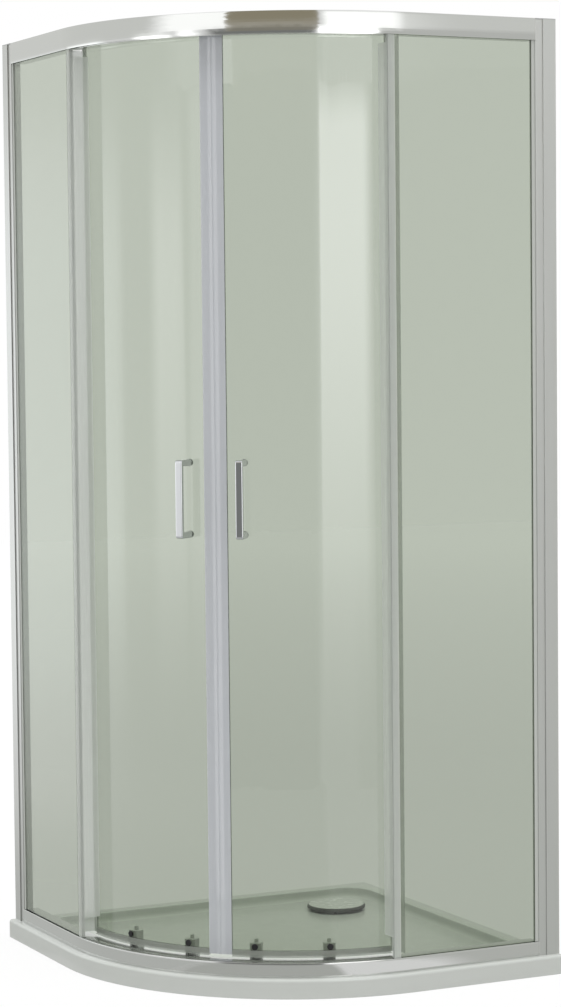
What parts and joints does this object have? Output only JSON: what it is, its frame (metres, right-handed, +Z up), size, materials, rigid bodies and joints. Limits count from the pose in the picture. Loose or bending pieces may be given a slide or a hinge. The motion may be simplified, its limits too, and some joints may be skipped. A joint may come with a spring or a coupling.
{
  "type": "quadrant shower enclosure with tray",
  "caption": "Corner shower enclosure with a curved front: low tray, fixed glass side panels, and curved glass doors that slide apart on rollers between two rails.",
  "frame": {"origin": "middle of the tray's square outline, at the underside of the tray", "axes": "+Z up; the room's two walls are the planes x = +0.45 and y = +0.45; the curved front faces -X and -Y"},
  "size_m": [0.9, 0.9, 1.99],
  "materials": {
    "white_gloss_resin": "smooth white gloss",
    "polished_aluminium": "bright polished, like chrome",
    "clear_glass": "clear toughened glass with a faint green tint",
    "clear_pvc": "clear soft strip",
    "magnet_pvc": "milky soft strip over a magnet",
    "grey_gasket": "soft grey gasket",
    "clear_washer": "clear washer",
    "chrome_plate": "mirror bright plating",
    "satin_cap": "silver-grey moulded cap",
    "white_nylon": "smooth white nylon",
    "grey_plastic": "grey moulded plastic",
    "black_steel": "blackened steel",
    "black_rubber": "black rubber",
    "stainless_steel": "plain stainless steel"
  },
  "bodies": {
    "enclosure": {"adjusting_post_left": "polished_aluminium", "adjusting_post_right": "polished_aluminium", "bottom_rail": "polished_aluminium", "door_stops": "black_rubber", "fixed_edge_seal_left": "clear_pvc", "fixed_edge_seal_right": "clear_pvc", "fixed_glass_left": "clear_glass", "fixed_glass_right": "clear_glass", "glazing_gasket_left": "grey_gasket", "glazing_gasket_right": "grey_gasket", "profile_caps": "satin_cap", "profile_clamp_screws": "stainless_steel", "rail_end_blocks": "grey_plastic", "rail_end_screws": "stainless_steel", "rail_infill_strip": "polished_aluminium", "shower_tray": "white_gloss_resin", "top_rail": "polished_aluminium", "wall_profile_left": "polished_aluminium", "wall_profile_right": "polished_aluminium", "waste_flange": "grey_plastic"},
    "strainer_cup": {"waste_strainer_cup": "grey_plastic"},
    "waste_lid": {"waste_cover": "chrome_plate"},
    "left_door": {"bottom_seal_left": "clear_pvc", "door_glass_left": "clear_glass", "handle_left": "chrome_plate", "handle_screws_left": "chrome_plate", "handle_washers_left": "clear_washer", "housing_screws_left": "black_steel", "magnetic_seal_left": "magnet_pvc", "release_spring_left_lead": "stainless_steel", "release_spring_left_trail": "stainless_steel", "roller_cap_nuts_left": "chrome_plate", "roller_hangers_left": "chrome_plate", "roller_housings_left": "grey_plastic", "trailing_seal_left": "clear_pvc"},
    "right_door": {"bottom_seal_right": "clear_pvc", "door_glass_right": "clear_glass", "handle_right": "chrome_plate", "handle_screws_right": "chrome_plate", "handle_washers_right": "clear_washer", "housing_screws_right": "black_steel", "magnetic_seal_right": "magnet_pvc", "release_spring_right_lead": "stainless_steel", "release_spring_right_trail": "stainless_steel", "roller_cap_nuts_right": "chrome_plate", "roller_hangers_right": "chrome_plate", "roller_housings_right": "grey_plastic", "trailing_seal_right": "clear_pvc"},
    "bottom_wheel_left_lead": {"bottom_wheel_left_lead": "white_nylon"},
    "bottom_wheel_left_trail": {"bottom_wheel_left_trail": "white_nylon"},
    "bottom_wheel_right_lead": {"bottom_wheel_right_lead": "white_nylon"},
    "bottom_wheel_right_trail": {"bottom_wheel_right_trail": "white_nylon"},
    "release_button_left_lead": {"release_button_left_lead": "grey_plastic"},
    "release_button_left_trail": {"release_button_left_trail": "grey_plastic"},
    "release_button_right_lead": {"release_button_right_lead": "grey_plastic"},
    "release_button_right_trail": {"release_button_right_trail": "grey_plastic"},
    "top_wheel_left_lead": {"top_wheel_left_lead": "white_nylon"},
    "top_wheel_left_trail": {"top_wheel_left_trail": "white_nylon"},
    "top_wheel_right_lead": {"top_wheel_right_lead": "white_nylon"},
    "top_wheel_right_trail": {"top_wheel_right_trail": "white_nylon"}
  },
  "joints": [
    {"name": "left_door_run", "type": "hinge", "parent": "enclosure", "child": "left_door", "pos_m": [0.1, 0.1, 0], "axis": [0, 0, -1], "range_deg": [0, 25]},
    {"name": "top_wheel_left_lead_spin", "type": "hinge", "parent": "left_door", "child": "top_wheel_left_lead", "pos_m": [-0.31016, -0.2031, 1.95915], "axis": [-0.8042, -0.5943, 0], "continuous": true},
    {"name": "release_button_left_lead_press", "type": "slide", "parent": "left_door", "child": "release_button_left_lead", "axis": [0, 0, -1], "range_m": [0, 0.0055], "stiffness_N_per_m": 300, "springref_m": -0.006, "deforming": ["release_spring_left_lead"]},
    {"name": "bottom_wheel_left_lead_spin", "type": "hinge", "parent": "release_button_left_lead", "child": "bottom_wheel_left_lead", "pos_m": [-0.31016, -0.2031, 0.0587], "axis": [-0.8042, -0.5943, 0], "continuous": true},
    {"name": "top_wheel_left_trail_spin", "type": "hinge", "parent": "left_door", "child": "top_wheel_left_trail", "pos_m": [-0.3841, -0.06047, 1.95915], "axis": [-0.9492, -0.3147, 0], "continuous": true},
    {"name": "release_button_left_trail_press", "type": "slide", "parent": "left_door", "child": "release_button_left_trail", "axis": [0, 0, -1], "range_m": [0, 0.0055], "stiffness_N_per_m": 300, "springref_m": -0.006, "deforming": ["release_spring_left_trail"]},
    {"name": "bottom_wheel_left_trail_spin", "type": "hinge", "parent": "release_button_left_trail", "child": "bottom_wheel_left_trail", "pos_m": [-0.3841, -0.06047, 0.0587], "axis": [-0.9492, -0.3147, 0], "continuous": true},
    {"name": "right_door_run", "type": "hinge", "parent": "enclosure", "child": "right_door", "pos_m": [0.1, 0.1, 0], "axis": [0, 0, 1], "range_deg": [0, 25]},
    {"name": "top_wheel_right_lead_spin", "type": "hinge", "parent": "right_door", "child": "top_wheel_right_lead", "pos_m": [-0.2031, -0.31016, 1.95915], "axis": [-0.5943, -0.8042, 0], "continuous": true},
    {"name": "release_button_right_lead_press", "type": "slide", "parent": "right_door", "child": "release_button_right_lead", "axis": [0, 0, -1], "range_m": [0, 0.0055], "stiffness_N_per_m": 300, "springref_m": -0.006, "deforming": ["release_spring_right_lead"]},
    {"name": "bottom_wheel_right_lead_spin", "type": "hinge", "parent": "release_button_right_lead", "child": "bottom_wheel_right_lead", "pos_m": [-0.2031, -0.31016, 0.0587], "axis": [-0.5943, -0.8042, 0], "continuous": true},
    {"name": "top_wheel_right_trail_spin", "type": "hinge", "parent": "right_door", "child": "top_wheel_right_trail", "pos_m": [-0.06047, -0.3841, 1.95915], "axis": [-0.3147, -0.9492, 0], "continuous": true},
    {"name": "release_button_right_trail_press", "type": "slide", "parent": "right_door", "child": "release_button_right_trail", "axis": [0, 0, -1], "range_m": [0, 0.0055], "stiffness_N_per_m": 300, "springref_m": -0.006, "deforming": ["release_spring_right_trail"]},
    {"name": "bottom_wheel_right_trail_spin", "type": "hinge", "parent": "release_button_right_trail", "child": "bottom_wheel_right_trail", "pos_m": [-0.06047, -0.3841, 0.0587], "axis": [-0.3147, -0.9492, 0], "continuous": true},
    {"name": "strainer_cup_lift", "type": "slide", "parent": "enclosure", "child": "strainer_cup", "axis": [0, 0, 1], "range_m": [0, 0.04]},
    {"name": "waste_cover_lift", "type": "slide", "parent": "strainer_cup", "child": "waste_lid", "axis": [0, 0, 1], "range_m": [0, 0.06]}
  ],
  "couplings": [
    {"joint": "top_wheel_left_lead_spin", "follows": "left_door_run", "ratio": 46.364},
    {"joint": "bottom_wheel_left_lead_spin", "follows": "left_door_run", "ratio": -63.75},
    {"joint": "top_wheel_left_trail_spin", "follows": "left_door_run", "ratio": 46.364},
    {"joint": "bottom_wheel_left_trail_spin", "follows": "left_door_run", "ratio": -63.75},
    {"joint": "top_wheel_right_lead_spin", "follows": "right_door_run", "ratio": -46.364},
    {"joint": "bottom_wheel_right_lead_spin", "follows": "right_door_run", "ratio": 63.75},
    {"joint": "top_wheel_right_trail_spin", "follows": "right_door_run", "ratio": -46.364},
    {"joint": "bottom_wheel_right_trail_spin", "follows": "right_door_run", "ratio": 63.75}
  ]
}
